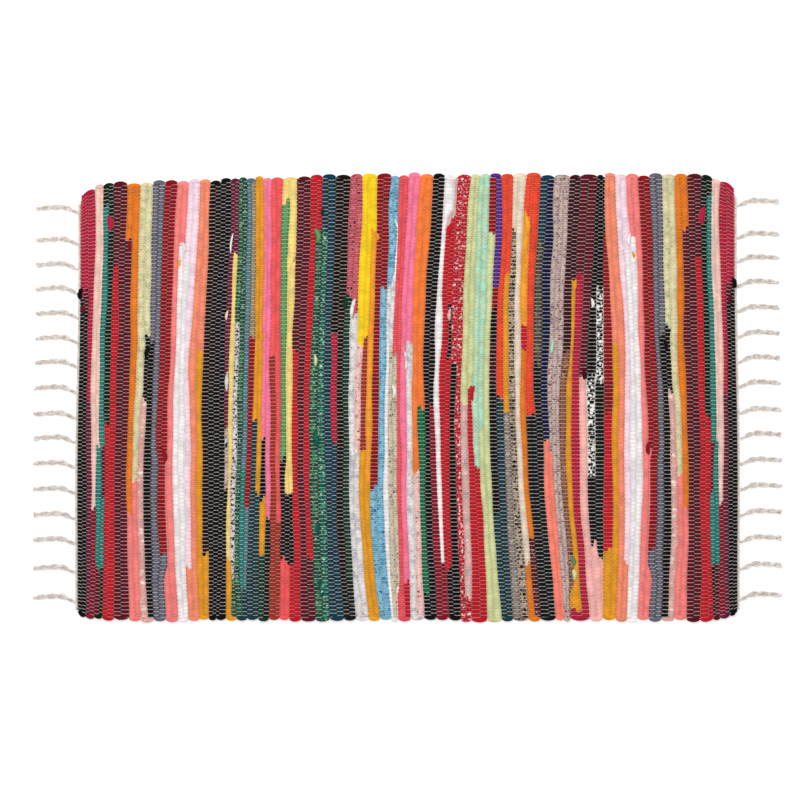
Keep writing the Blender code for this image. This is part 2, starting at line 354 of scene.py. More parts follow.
RAG_MIDDLE = 0.0034
RAG_RISE = 0.0029
RAG_OVERLAP = 0.00035
FULL_HALF_WIDTH = 0.0041
WIDER_RISE = 0.12
NARROWEST_RISE = 0.0009
NARROW_SLOPE = 0.72
JOIN_LENGTH_MM = (4.0, 11.0)
JOIN_LEAN = 0.8
END_SHARES = (0.50, 0.85)
BITE_SHARES = (0.7, 1.0)


def rag_rise(width):
    """Half the height of a rag half as wide as this: a narrow one is lower."""
    full = RAG_RISE * (1 + WIDER_RISE * (width / FULL_HALF_WIDTH - 1))
    return np.minimum(full, NARROWEST_RISE + NARROW_SLOPE * width)


def linear(hex_colour):
    """The linear RGBA of an sRGB hex colour."""
    parts = [int(hex_colour[at:at + 2], 16) / 255 for at in (1, 3, 5)]
    return [p / 12.92 if p <= 0.04045 else ((p + 0.055) / 1.055) ** 2.4 for p in parts] + [1.0]


UNDYED = np.array((0.72, 0.67, 0.64))
DYE_TAKEN = 1.25
DYE_FADE = 0.8
DYE_TINT = 0.34
FULL_DYE = 0.15
STAINING_DYE = 0.08
DYE_COVER = 1.2
BLACK_STAIN = 0.2


def stained_thread(dye):
    """Colour the undyed thread takes on from the rag it lies on, which bleeds in the wash."""
    dye = np.array(dye[:3])
    strength = DYE_TINT * min(1, dye.max() / FULL_DYE)
    clean = 1 - BLACK_STAIN * (1 - min(1, dye.max() / STAINING_DYE))
    tint = 1 - strength + strength * dye / dye.max()
    undyed = UNDYED * (1 - dye.max()) ** DYE_COVER * tint * clean
    return [*np.minimum(undyed + DYE_TAKEN * dye ** DYE_FADE, 1.0), 1.0]


def cloth_values(cloth):
    """The colours and shares of a cloth, as values for its line."""
    name = cloth.removeprefix("sliver ").removeprefix("thin ")
    plain = PLAIN_CLOTHS.get(name)
    ground, patch, patch_share, fleck, fleck_share = PRINTED_CLOTHS.get(
        name, (plain, plain, 0, plain, 0))
    return {"dye": linear(ground), "patch": linear(patch), "patch_share": patch_share,
            "fleck": linear(fleck), "fleck_share": fleck_share, "strip": draw.uniform(0, 1),
            "stain": stained_thread(linear(ground)), "light": max(linear(ground)[:3])}


class Lines:
    """Lines with values at their points, gathered into one mesh of edges for a node tree."""

    def __init__(self):
        self.points = []
        self.edges = []
        self.values = {}
        self.count = 0

    def add(self, points, **values):
        """Adds a line. A value is one number or colour for the whole line, or one for each point."""
        size = len(points)
        self.points.append(np.asarray(points, float))
        self.edges.append(np.stack([np.arange(size - 1), np.arange(1, size)], axis=1) + self.count)
        for name, value in values.items():
            value = np.asarray(value, float)
            wide = (size, 4) if value.shape[-1:] == (4,) else (size,)
            self.values.setdefault(name, []).append(np.broadcast_to(value, wide))
        self.count += size

    def to_object(self, name):
        mesh = bpy.data.meshes.new(name)
        points = np.concatenate(self.points)
        edges = np.concatenate(self.edges)
        mesh.vertices.add(len(points))
        mesh.vertices.foreach_set("co", points.ravel())
        mesh.edges.add(len(edges))
        mesh.edges.foreach_set("vertices", edges.ravel().astype(np.int32))
        for key, parts in self.values.items():
            value = np.concatenate(parts)
            kind, field = ("FLOAT_COLOR", "color") if value.ndim == 2 else ("FLOAT", "value")
            mesh.attributes.new(key, kind, "POINT").data.foreach_set(field, value.ravel())
        piece = bpy.data.objects.new(name, mesh)
        bpy.context.scene.collection.objects.link(piece)
        return piece


def lay_row(lines, row):
    """Lays the rags of one row: a ring where each thread presses them, and two between."""
    rings = np.arange(row % 2 - 2, THREADS + 2, 2 / RINGS_A_BITE)
    pressed = np.isclose((rings - row % 2) % 2, 0) | np.isclose((rings - row % 2) % 2, 2)
    kept = (rings > -0.5) & (rings < THREADS - 0.5)
    rings, pressed = rings[kept], pressed[kept]
    station = station_of(rings)
    left, right = side_x(row, rings), side_x(row + 1, rings)
    middle, half = (left + right) / 2, (right - left) / 2
    ends = [start for start, _ in row_cloths[row][1:]] + [math.inf]
    lean_to = 1 if row % 2 else -1
    join_in = JOIN_LENGTH_MM[0]
    for number, ((start, cloth), end) in enumerate(zip(row_cloths[row], ends)):
        start = -math.inf if number == 0 else start
        join_out = draw.uniform(*JOIN_LENGTH_MM)
        lead_in = np.clip((station - start) / join_in + 0.5, 0, 1)
        lead_out = np.clip((end - station) / join_out + 0.5, 0, 1)
        join_in = join_out
        here = (lead_in > 0) & (lead_out > 0)
        if np.count_nonzero(here) < 4:
            continue
        end_share = draw.uniform(*END_SHARES)
        fullness = (end_share + (1 - end_share) * (lead_in * lead_out))[here]
        lean = np.where(lead_in[here] < lead_out[here], lean_to, -lean_to)
        x = middle[here] + lean * (1 - fullness) * half[here] * JOIN_LEAN
        width = (half[here] + RAG_OVERLAP) * fullness
        rise = rag_rise(width)
        points = np.stack([x, weave_y(x, rings[here]), np.full(len(x), RAG_MIDDLE)], axis=1)
        bite = pressed[here] * draw.uniform(*BITE_SHARES, len(x))
        lines.add(points, half_width=width, half_height=rise, bite=bite, **cloth_values(cloth))


# At the long edges a rag comes out of one row, turns round the outermost warp thread and goes
# back in the next, which leaves a plain rounded lobe over two rows. These rows make the turns.
FAR_TURNS = [(row, row + 1) for row in (
    *range(1, 40, 2), *range(42, 51, 2), *range(55, 68, 2), *range(70, 85, 2), 89, 91, 93,
    *range(96, 117, 2))] + [(52, 54), (86, 88)]
NEAR_TURNS = [(row, row + 1) for row in (
    *range(0, 29, 2), *range(33, 58, 2), *range(60, 67, 2), *range(69, 88, 2), 90, 92,
    *range(95, 118, 2))] + [(30, 32)]
TURN_REACH = (0.0000, 0.0038)
TURN_HALF_WIDTH = 0.0034
TURN_WIDTHS = (0.85, 1.1)
TURN_HEIGHTS = (0.9, 1.0)
TURN_SPAN = 0.94
TURN_ROUNDING = 0.80
TURN_LIFT = 0.0006
TURN_DROOP = 0.0022
TURN_POINTS = 9


def lay_turn(lines, rows, outward):
    """Lays the turn of a rag from one row to another, over the weave's long edge."""
    edge_thread = 0 if outward > 0 else THREADS - 1
    left = side_x(rows[0], edge_thread)
    right = side_x(rows[1] + 1, edge_thread)
    place = np.linspace(-1.0, 1.0, TURN_POINTS)
    x = (left + right) / 2 + place * (right - left) / 2 * TURN_SPAN
    roundness = np.sqrt(1 - TURN_ROUNDING * place ** 2)
    reach = draw.uniform(*TURN_REACH) - TURN_DROOP * (1 - roundness)
    y = weave_y(x, edge_thread) + outward * reach
    z = RAG_MIDDLE + TURN_LIFT * roundness
    cloth = row_cloths[rows[draw.integers(2)]][0 if outward > 0 else -1][1]
    lines.add(np.stack([x, y, z], axis=1),
              half_width=TURN_HALF_WIDTH * draw.uniform(*TURN_WIDTHS) * roundness,
              half_height=RAG_RISE * draw.uniform(*TURN_HEIGHTS) * roundness ** 0.5, bite=0.0,
              **cloth_values(cloth))


# Ends of rags that stick out of the weave and lie over their neighbours. Columns: row, the
# millimetres from the far edge where the end starts and stops, how far it leans to the right in
# millimetres, half its width in millimetres, cloth.
LOOSE_ENDS = (
    (6.1, 40, 63, 4.0, 4.0, "crimson"),
    (0.1, 138, 153, -3.0, 3.4, "black"),
    (0.5, 163, 176, 2.0, 3.0, "maroon"),
    (9.6, 78, 92, 2.0, 2.4, "dark red"),
    (12.6, 224, 240, -3.0, 2.6, "black"),
    (16.2, 364, 384, 3.0, 3.0, "dark red"),
    (18.7, 80, 96, 3.5, 2.2, "white"),
    (18.2, 105, 114, -2.0, 1.8, "amber"),
    (27.4, 70, 98, -2.5, 1.3, "white"),
    (27.2, 176, 190, -2.0, 1.6, "blush"),
    (27.6, 260, 288, -1.0, 2.4, "grey white print"),
    (27.6, 346, 372, -1.0, 2.2, "lilac print"),
    (34.5, 206, 222, 3.5, 3.0, "mustard"),
    (46.2, 42, 52, -3.0, 2.4, "dark green"),
    (45.1, 68, 88, 6.0, 3.8, "green"),
    (45.6, 240, 256, 2.0, 2.2, "pale green"),
    (45.8, 345, 368, 3.0, 3.6, "bright green print"),
    (45.9, 470, 486, -2.0, 2.6, "bright green print"),
    (45.7, 548, 572, 5.0, 3.6, "bright green print"),
    (49.9, 163, 180, 2.0, 3.0, "dark green"),
    (51.3, 164, 196, -4.0, 2.6, "grey white print"),
    (54.9, 75, 86, 4.5, 2.4, "amber"),
    (59.2, 282, 300, 4.0, 2.4, "white"),
    (61.9, 236, 262, 3.0, 2.2, "grey white print"),
    (69.0, 62, 80, -4.0, 3.4, "red"),
    (69.4, 178, 196, -2.0, 2.4, "pink grey"),
    (74.2, 283, 305, -2.5, 2.8, "red"),
    (82.6, 52, 80, 3.0, 3.4, "amber"),
    (83.4, 76, 100, 4.0, 3.2, "orange red"),
    (82.2, 100, 122, 2.0, 2.6, "amber"),
    (86.7, 222, 240, -1.5, 2.4, "mint"),
    (89.9, 516, 530, 2.0, 2.8, "green"),
    (90.0, 534, 550, 2.0, 2.8, "pale green"),
    (90.9, 139, 153, -2.0, 3.0, "mustard"),
    (91.3, 129, 140, 1.0, 2.6, "crimson"),
    (93.3, 164, 178, 3.0, 2.2, "white"),
    (92.6, 262, 276, 3.0, 3.2, "dark maroon"),
    (99.9, 76, 92, -3.5, 2.2, "white"),
    (100.4, 101, 110, 2.0, 1.8, "amber"),
    (105.9, 220, 236, 3.0, 2.6, "black"),
    (102.0, 360, 378, -3.0, 3.0, "dark red"),
    (112.4, 39, 64, -4.0, 4.2, "crimson"),
    (118.5, 132, 147, 3.0, 3.4, "black"),
    (118.1, 158, 171, -2.0, 3.0, "maroon"),
)
LOOSE_POINTS = 7
LOOSE_Z = (0.0054, 0.0066)
LOOSE_RISE = 0.0012
LOOSE_RAGGEDNESS = 0.16


def lay_loose_end(lines, row, start_mm, end_mm, lean_mm, half_width_mm, cloth):
    """Lays one loose end of rag: it comes up out of the weave, lies over it and tapers off."""
    share = np.linspace(0.0, 1.0, LOOSE_POINTS)
    thread = (start_mm + (end_mm - start_mm) * share) / stations_mm[-1] * (THREADS - 1)
    side, part = int(row // 1), row % 1
    x = side_x(side, thread) * (1 - part) + side_x(side + 1, thread) * part
    x = x + lean_mm * MM * (np.sin(share * math.pi * 0.8) - 0.5)
    z = LOOSE_Z[0] + (LOOSE_Z[1] - LOOSE_Z[0]) * np.sin(share * math.pi)
    width = half_width_mm * MM * np.sqrt(np.clip(1.02 - (2 * share - 1) ** 2, 0, 1))
    width = width * (1 + draw.uniform(-LOOSE_RAGGEDNESS, LOOSE_RAGGEDNESS, LOOSE_POINTS))
    lines.add(np.stack([x, weave_y(x, thread), z], axis=1), half_width=width,
              half_height=np.minimum(LOOSE_RISE, LOOSE_RISE / 3 + width / 2), bite=0.0,
              **cloth_values(cloth))


def add_node(tree, kind, inputs=None, **settings):
    """Adds a node. Inputs maps a socket to a constant or to the output that feeds it."""
    made = tree.nodes.new(kind)
    for name, value in settings.items():
        setattr(made, name, value)
    for socket, value in (inputs or {}).items():
        if isinstance(value, bpy.types.NodeSocket):
            tree.links.new(value, made.inputs[socket])
        else:
            made.inputs[socket].default_value = value
    return made


def start_tree(name, sizes):
    """A node tree with a geometry in and out and a named input for each size."""
    tree = bpy.data.node_groups.new(name, "GeometryNodeTree")
    tree.interface.new_socket("Geometry", in_out="INPUT", socket_type="NodeSocketGeometry")
    tree.interface.new_socket("Geometry", in_out="OUTPUT", socket_type="NodeSocketGeometry")
    for size, kind in sizes.items():
        tree.interface.new_socket(size, in_out="INPUT", socket_type=kind)
    return tree, add_node(tree, "NodeGroupInput").outputs


def finish_tree(tree, geometry, material):
    """Ends a tree: smooth shading, instances made real, the material set."""
    smooth = add_node(tree, "GeometryNodeSetShadeSmooth", {"Geometry": geometry})
    real = add_node(tree, "GeometryNodeRealizeInstances", {"Geometry": smooth.outputs[0]})
    dressed = add_node(tree, "GeometryNodeSetMaterial",
                       {"Geometry": real.outputs[0], "Material": material})
    add_node(tree, "NodeGroupOutput", {"Geometry": dressed.outputs[0]})


def value_at(tree, name, kind="FLOAT"):
    """The value with this name at each point of the lines."""
    return add_node(tree, "GeometryNodeInputNamedAttribute", {"Name": name}, data_type=kind).outputs[0]


def maths(tree, operation, first, second=0.0):
    return add_node(tree, "ShaderNodeMath", {0: first, 1: second}, operation=operation).outputs[0]


def vector_maths(tree, operation, first, second=(0, 0, 0)):
    socket = "Scale" if operation == "SCALE" else 1
    return add_node(tree, "ShaderNodeVectorMath", {0: first, socket: second},
                    operation=operation).outputs[0]


def store(tree, geometry, name, value, kind="FLOAT_VECTOR"):
    """Keeps a value under this name at each point of the geometry."""
    return add_node(tree, "GeometryNodeStoreNamedAttribute",
                    {"Geometry": geometry, "Name": name, "Value": value}, data_type=kind).outputs[0]


def section_ring(tree, sides, turn):
    """A section with this many corners, turned in its plane."""
    ring = add_node(tree, "GeometryNodeCurvePrimitiveCircle", {"Resolution": sides, "Radius": 1.0})
    return add_node(tree, "GeometryNodeTransform",
                    {"Geometry": ring.outputs[0], "Rotation": (0, 0, turn)}).outputs[0]


def mixed(tree, share, first, second, **settings):
    """The first colour, with the second over a share of it."""
    return add_node(tree, "ShaderNodeMix", {"Factor": share, 6: first, 7: second},
                    data_type="RGBA", **settings).outputs[2]


def bare_material(name):
    """A material with this name and no nodes, and its tree."""
    material = bpy.data.materials.new(name)
    material.use_nodes = True
    material.node_tree.nodes.clear()
    return material, material.node_tree


def rag_tree():
    """Sweeps an oval section along each line, pressed in where a warp thread crosses it."""
    tree, given = start_tree("rag laid in its row", {
        "Sides": "NodeSocketInt", "Bite depth": "NodeSocketFloat", "Bite pinch": "NodeSocketFloat",
        "Unevenness": "NodeSocketFloat", "Lump size": "NodeSocketFloat", "Cloth": "NodeSocketMaterial"})
    lines = add_node(tree, "GeometryNodeMeshToCurve", {"Mesh": given["Geometry"]}).outputs[0]
    along = add_node(tree, "GeometryNodeInputTangent").outputs[0]
    side = vector_maths(tree, "NORMALIZE", vector_maths(tree, "CROSS_PRODUCT", along, (0, 0, 1)))
    place = add_node(tree, "GeometryNodeInputPosition").outputs[0]
    for name, value in (("middle", place), ("side", side)):
        lines = store(tree, lines, name, value)
    ring = store(tree, section_ring(tree, given["Sides"], math.pi / 2), "section", place)
    swept = add_node(tree, "GeometryNodeCurveToMesh",
                     {"Curve": lines, "Profile Curve": ring, "Scale": MM, "Fill Caps": True}).outputs[0]
    section = add_node(tree, "ShaderNodeSeparateXYZ", {0: value_at(tree, "section", "FLOAT_VECTOR")})
    bite = value_at(tree, "bite")
    pinch = maths(tree, "SUBTRACT", 1.0, maths(tree, "MULTIPLY", bite, given["Bite pinch"]))
    widest = maths(tree, "COSINE", maths(tree, "DIVIDE", math.pi, given["Sides"]))
    across = maths(tree, "DIVIDE", section.outputs["X"], widest)
    across = maths(tree, "MULTIPLY", across, value_at(tree, "half_width"))
    across = maths(tree, "MULTIPLY", across, pinch)
    up = maths(tree, "MULTIPLY", section.outputs["Y"], value_at(tree, "half_height"))
    top = maths(tree, "MAXIMUM", section.outputs["Y"], 0.0)
    pressed = maths(tree, "MULTIPLY", maths(tree, "MULTIPLY", bite, top), given["Bite depth"])
    up = maths(tree, "SUBTRACT", up, pressed)
    middle = value_at(tree, "middle", "FLOAT_VECTOR")
    moved = vector_maths(tree, "ADD", middle, vector_maths(
        tree, "SCALE", value_at(tree, "side", "FLOAT_VECTOR"), across))
    moved = vector_maths(tree, "ADD", moved, add_node(tree, "ShaderNodeCombineXYZ", {"Z": up}).outputs[0])
    shift = add_node(tree, "ShaderNodeCombineXYZ", {"Z": value_at(tree, "strip")}).outputs[0]
    per_metre = maths(tree, "DIVIDE", 1.0, given["Lump size"])
    lumps = add_node(tree, "ShaderNodeTexNoise",
                     {"Vector": vector_maths(tree, "ADD", moved, shift), "Scale": per_metre, "Detail": 1.0})
    lift = vector_maths(tree, "SUBTRACT", lumps.outputs["Color"], (0.5, 0.5, 0.5))
    loose = maths(tree, "MULTIPLY", maths(tree, "SUBTRACT", 1.0, maths(tree, "MULTIPLY", bite, 0.7)),
                  given["Unevenness"])
    moved = vector_maths(tree, "ADD", moved, vector_maths(tree, "SCALE", lift, loose))
    laid = add_node(tree, "GeometryNodeSetPosition", {"Geometry": swept, "Position": moved}).outputs[0]
    laid = store(tree, laid, "crown", section.outputs["Y"], "FLOAT")
    for name in ("middle", "side", "section"):
        laid = add_node(tree, "GeometryNodeRemoveAttribute", {"Geometry": laid, "Name": name}).outputs[0]
    finish_tree(tree, laid, given["Cloth"])
    return tree


def make_plain_mesh(piece, tree, sizes):
    """Runs the tree on a piece with these sizes and keeps the result as its plain mesh."""
    modifier = piece.modifiers.new(tree.name, "NODES")
    modifier.node_group = tree
    for socket in tree.interface.items_tree:
        if socket.in_out == "INPUT" and socket.name in sizes:
            modifier[socket.identifier] = sizes[socket.name]
    lines = piece.data
    evaluated = piece.evaluated_get(bpy.context.evaluated_depsgraph_get())
    piece.data = bpy.data.meshes.new_from_object(evaluated)
    piece.data.name = piece.name
    piece.modifiers.clear()
    bpy.data.meshes.remove(lines)


# Torn jersey and shirting cotton, worn soft and matt. It scatters light like fine felt, its dye
# is blotched by washing, and its torn edges roll in, which leaves creases along the strip. Shade
# is painted into its colour: darker and deeper in the valleys between rows and beside each warp
# thread that presses the rag, less so on light-coloured cloths.
BLOTCH_MM = 14
PATCH_MM = 9.5
FLECK_MM = 3.7
CREASE_ACROSS_MM = 1.1
CREASE_ALONG_MM = 7.0
NAP_MM = 0.7
# Painted shade: how dark the valleys between rows and the places beside each warp thread are made, and how
# much less of it light-coloured cloths get.
VALLEY_SHADE_DEPTH = 0.9
BITE_SHADE_DEPTH = 0.9
SHADE_DEPTH = 0.55
# The warp's stained colour is mixed into the valleys as thread showing between the rags; light-coloured
# cloths get more of it, which is painted light that lifts the valley's shade.
THREAD_IN_VALLEY = 0.05
LIGHT_CLOTH_SHADE = 0.75
LIGHT_CLOTH_VALLEY_LIFT = 0.6


def rag_material():
    material, tree = bare_material("torn cotton jersey and shirting")

    def given(name, field="Fac"):
        return add_node(tree, "ShaderNodeAttribute", attribute_name=name).outputs[field]

    def noise(size_mm, detail, vector):
        return add_node(tree, "ShaderNodeTexNoise",
                        {"Vector": vector, "Scale": 1 / (size_mm * MM), "Detail": detail}).outputs["Fac"]

    def ramp(value, low, high, to_low=0.0, to_high=1.0):
        return add_node(tree, "ShaderNodeMapRange",
                        {"Value": value, "From Min": low, "From Max": high, "To Min": to_low,
                         "To Max": to_high}, interpolation_type="SMOOTHSTEP").outputs[0]

    def printed(colour, name, size_mm, softness, offset):
        """Prints a colour over the share of the ground that the rag's cloth gives it."""
        pattern = noise(size_mm, 2.0, vector_maths(tree, "ADD", own_place, (offset, 0, 0)))
        edge = maths(tree, "SUBTRACT", 0.80, maths(tree, "MULTIPLY", given(name + "_share"), 0.72))
        there = ramp(pattern, edge, maths(tree, "ADD", edge, softness))
        return mixed(tree, there, colour, given(name, "Color"))

    place = add_node(tree, "ShaderNodeTexCoord").outputs["Object"]
    shift = add_node(tree, "ShaderNodeCombineXYZ", {"Z": given("strip")}).outputs[0]
    own_place = vector_maths(tree, "ADD", place, shift)
    colour = printed(given("dye", "Color"), "patch", PATCH_MM, 0.08, 0.0)
    colour = printed(colour, "fleck", FLECK_MM, 0.03, 5.0)
    worn = ramp(noise(BLOTCH_MM, 3.0, own_place), 0.3, 0.7, 0.84, 1.12)
    colour = add_node(tree, "ShaderNodeHueSaturation", {"Value": worn, "Color": colour}).outputs[0]
    # Painted shade: the colour is darkened and deepened in the valleys between rows and beside each warp
    # thread, less on light-coloured cloths.
    valley_shade = ramp(given("crown"), 0.80, 0.50, 0.0, VALLEY_SHADE_DEPTH)
    shade_beside_thread = ramp(given("bite"), 0.15, 0.80, 0.0, BITE_SHADE_DEPTH)
    painted_shade = maths(tree, "MAXIMUM", valley_shade, shade_beside_thread)
    shade_kept = maths(tree, "SUBTRACT", 1.0, maths(tree, "MULTIPLY", given("light"), LIGHT_CLOTH_SHADE))
    painted_shade = maths(tree, "MULTIPLY", painted_shade, shade_kept)
    shade_gamma = maths(tree, "ADD", painted_shade, 1.0)
    colour = add_node(tree, "ShaderNodeGamma", {"Color": colour, "Gamma": shade_gamma}).outputs[0]
    shaded = maths(tree, "SUBTRACT", 1.0, maths(tree, "MULTIPLY", painted_shade, SHADE_DEPTH))
    colour = add_node(tree, "ShaderNodeHueSaturation", {"Value": shaded, "Color": colour}).outputs[0]
    # Thread colour in the valley: thread showing between the rags, and on light-coloured cloths a larger
    # share that is painted light lifting the valley's shade.
    share = maths(tree, "MULTIPLY", given("light"), LIGHT_CLOTH_VALLEY_LIFT)
    share = maths(tree, "ADD", share, THREAD_IN_VALLEY)
    thread_and_painted_light = maths(tree, "MULTIPLY", ramp(given("crown"), 0.66, 0.53), share)
    colour = mixed(tree, thread_and_painted_light, colour, given("stain", "Color"))
    along_strip = (1, CREASE_ACROSS_MM / CREASE_ALONG_MM, 1)
    stretched = add_node(tree, "ShaderNodeMapping", {"Vector": own_place, "Scale": along_strip}).outputs[0]
    relief = add_node(tree, "ShaderNodeBump",
                      {"Height": noise(CREASE_ACROSS_MM, 2.0, stretched), "Strength": 0.6,
                       "Distance": 0.0006})
    relief = add_node(tree, "ShaderNodeBump",
                      {"Height": noise(NAP_MM, 1.0, own_place), "Strength": 0.3, "Distance": 0.0002,
                       "Normal": relief.outputs[0]})
    cotton = add_node(tree, "ShaderNodeBsdfPrincipled",
                      {"Base Color": colour, "Roughness": 0.95, "Specular IOR Level": 0.12,
                       "Sheen Weight": 0.03, "Sheen Roughness": 0.5, "Normal": relief.outputs[0]})
    add_node(tree, "ShaderNodeOutputMaterial", {"Surface": cotton.outputs[0]})
    return material


RAG_PIECES = {"rags_left": range(0, 40), "rags_middle": range(40, 80), "rags_right": range(80, ROWS)}
rag_cloth = rag_material()
laid_rags = rag_tree()
rag_pieces = []
for name, rows in RAG_PIECES.items():
    lines = Lines()
    for row in rows:
        lay_row(lines, row)
    for turns, outward in ((FAR_TURNS, 1), (NEAR_TURNS, -1)):
        for turn in turns:
            if turn[0] in rows:
                lay_turn(lines, turn, outward)
    for loose_end in LOOSE_ENDS:
        if int(loose_end[0]) in rows:
            lay_loose_end(lines, *loose_end)
    piece = lines.to_object(name)
    make_plain_mesh(piece, laid_rags, {
        "Sides": 6, "Bite depth": 1.0 * MM, "Bite pinch": 0.22, "Unevenness": 0.7 * MM,
        "Lump size": 9 * MM, "Cloth": rag_cloth})
    rag_pieces.append(piece)


# The warp is thin unbleached cotton thread, 228 ends of it, stretched along the rug on the loom.
# Each end passes over one rag and under the next, and its neighbours do the opposite.
THREAD_RADIUS = 0.00059
VALLEY_LEAN = 0.0008
UNDER_Z = 0.0009
HEADING_PICKS = 2
HEADING_PITCH = 0.0018
HEADING_OVER_Z = 0.0034
HEADING_UNDER_Z = 0.0012
HEADING_THREAD = "#D8CEC2"
PART_GAP = 0.0003

# A thread on its way over a rag. Columns: place across the rag, from -1 at its left side to 1 at
# its right, height above the floor in metres, share of the lean towards its neighbour.
OVER_SECTIONS = (
    (-0.98, 0.0042, 1),
    (-0.58, 0.0056, 0),
    (0.58, 0.0056, 0),
    (0.98, 0.0042, 1),
)


def thread_path(thread):
    """Points of one warp thread: four over a rag, one under the next, one at a heading pick."""
    left = side_x_all[:, thread]
    half = np.diff(left) / 2
    middle = left[:-1] + half
    low = np.minimum(1.0, rag_rise(half + RAG_OVERLAP) / RAG_RISE)
    path = []
    for row in range(ROWS):
        if (row + thread) % 2:
            path.append((middle[row], RAG_MIDDLE - (RAG_MIDDLE - UNDER_Z) * low[row], 0.0, row))
            continue
        lean = VALLEY_LEAN if (row + thread // 2) % 2 else -VALLEY_LEAN
        for place, height, leaning in OVER_SECTIONS:
            lift = RAG_MIDDLE + (height - RAG_MIDDLE) * low[row]
            path.append((middle[row] + place * half[row], lift, lean * leaning, row))
    for pick in range(HEADING_PICKS):
        out = PART_GAP + HEADING_PITCH * (pick + 0.5)
        lift = HEADING_OVER_Z if (pick + thread) % 2 == 0 else HEADING_UNDER_Z
        path.insert(0, (left[0] - out, lift, 0.0, -1))
        path.append((left[-1] + out, lift, 0.0, -1))
    x, z, lean, rows = np.array(path).T
    return np.stack([x, weave_y(x, thread) + lean, z], axis=1), rows.astype(int)


def thread_colour(thread, rows):
    """The colour of one warp thread at its points, from the cloths that it lies on."""
    station = station_of(thread)
    colours = []
    for row in rows:
        if row < 0:
            colours.append(linear(HEADING_THREAD))
            continue
        cloth = [name for start, name in row_cloths[row] if start <= station][-1]
        colours.append(cloth_values(cloth)["stain"])
    return np.array(colours)


side_x_all = np.stack([side_x(side, np.arange(THREADS)) for side in range(ROWS + 1)])


def thread_tree():
    """Sweeps a round section along each line, as thick as the line says."""
    tree, given = start_tree("thread along its line", {
        "Sides": "NodeSocketInt", "Cloth": "NodeSocketMaterial"})
    lines = add_node(tree, "GeometryNodeMeshToCurve", {"Mesh": given["Geometry"]}).outputs[0]
    lines = add_node(tree, "GeometryNodeSetCurveNormal", {"Curve": lines}, mode="Z_UP").outputs[0]
    ring = section_ring(tree, given["Sides"], -math.pi / 2)
    swept = add_node(tree, "GeometryNodeCurveToMesh",
                     {"Curve": lines, "Profile Curve": ring, "Scale": value_at(tree, "thickness"),
                      "Fill Caps": True}).outputs[0]
    finish_tree(tree, swept, given["Cloth"])
    return tree


# Unbleached cotton yarn, spun and not dyed: a warm cream, matt, with darker flecks of seed coat
# and a faint spiral of its ply.
PLY_MM = 1.6
TONE_MM = 4


def warp_material(name, hex_light, hex_dark, stained=False):
    material, tree = bare_material(name)
    place = add_node(tree, "ShaderNodeTexCoord").outputs["Object"]
    tone = add_node(tree, "ShaderNodeTexNoise",
                    {"Vector": place, "Scale": 1 / (TONE_MM * MM), "Detail": 3.0})
    sorted_tone = add_node(tree, "ShaderNodeMapRange",
                           {"Value": tone.outputs["Fac"], "From Min": 0.35, "From Max": 0.65})
    colour = mixed(tree, sorted_tone.outputs[0], linear(hex_dark), linear(hex_light))
    if stained:
        stain = add_node(tree, "ShaderNodeAttribute", attribute_name="stain").outputs["Color"]
        colour = mixed(tree, 1.0, colour, stain, blend_type="MULTIPLY")
    ply = add_node(tree, "ShaderNodeTexWave",
                   {"Vector": place, "Scale": 1 / (PLY_MM * MM) / 20, "Distortion": 2.0},
                   bands_direction="DIAGONAL")
    relief = add_node(tree, "ShaderNodeBump",
                      {"Height": ply.outputs["Fac"], "Strength": 0.3, "Distance": 0.0002})
    yarn = add_node(tree, "ShaderNodeBsdfPrincipled",
                    {"Base Color": colour, "Roughness": 0.9, "Specular IOR Level": 0.25,
                     "Sheen Weight": 0.1, "Normal": relief.outputs[0]})
    add_node(tree, "ShaderNodeOutputMaterial", {"Surface": yarn.outputs[0]})
    return material


warp_cotton = warp_material("unbleached cotton warp thread", "#FFFFFF", "#E6E2DC", stained=True)
laid_thread = thread_tree()
warp_pieces = []
WARP_PIECES = {
    "warp_far": range(0, 76), "warp_middle": range(76, 152), "warp_near": range(152, THREADS)}
for name, threads in WARP_PIECES.items():
    lines = Lines()
    for thread in threads:
        path, rows = thread_path(thread)
        lines.add(path, thickness=THREAD_RADIUS, stain=thread_colour(thread, rows))
    piece = lines.to_object(name)
    make_plain_mesh(piece, laid_thread, {"Sides": 3, "Cloth": warp_cotton})
    warp_pieces.append(piece)


# Each short end is a heading: the warp carries on past the last rag, two picks of thick cream
# yarn are woven through it, and its ends are drawn together and twisted in two plies into
# sixteen tassels.
LEFT_TASSELS_MM = (258, 215, 181, 148, 115, 81, 48, 13, -22, -55, -89, -124, -159, -193, -232, -272)
RIGHT_TASSELS_MM = (267, 223, 191, 157, 123, 88, 54, 20, -16, -50, -85, -120, -155, -191, -228, -269)
HEADING_WIDTH = 0.0047
HEADING_YARN_RADIUS = 0.0009
HEADING_YARN_Z = 0.0023
HEADING_YARN_WAVE = 0.0005
TASSEL_SWAY = 0.0003
FLOOR_GAP = 0.0001

# One tassel from its root in the heading to its tip. Columns in millimetres: distance out from
# the heading, offset across the rug, radius.
TASSEL_SECTIONS_MM = (
    (-3.2, -7.0, 1.8),
    (1.6, -5.6, 2.5),
    (5.7, -3.6, 3.0),
    (9.8, -1.4, 3.6),
    (13.9, 0.3, 3.9),
    (18.5, 1.3, 4.3),
    (23.7, 1.6, 4.3),
    (28.8, 1.4, 4.0),
    (33.9, 1.1, 4.0),
    (39.1, 0.8, 3.9),
    (43.7, 0.5, 3.7),
    (47.3, 0.1, 3.5),
    (51.0, -0.3, 4.0),
    (54.0, -0.6, 3.9),
    (55.6, -0.8, 2.4),
)


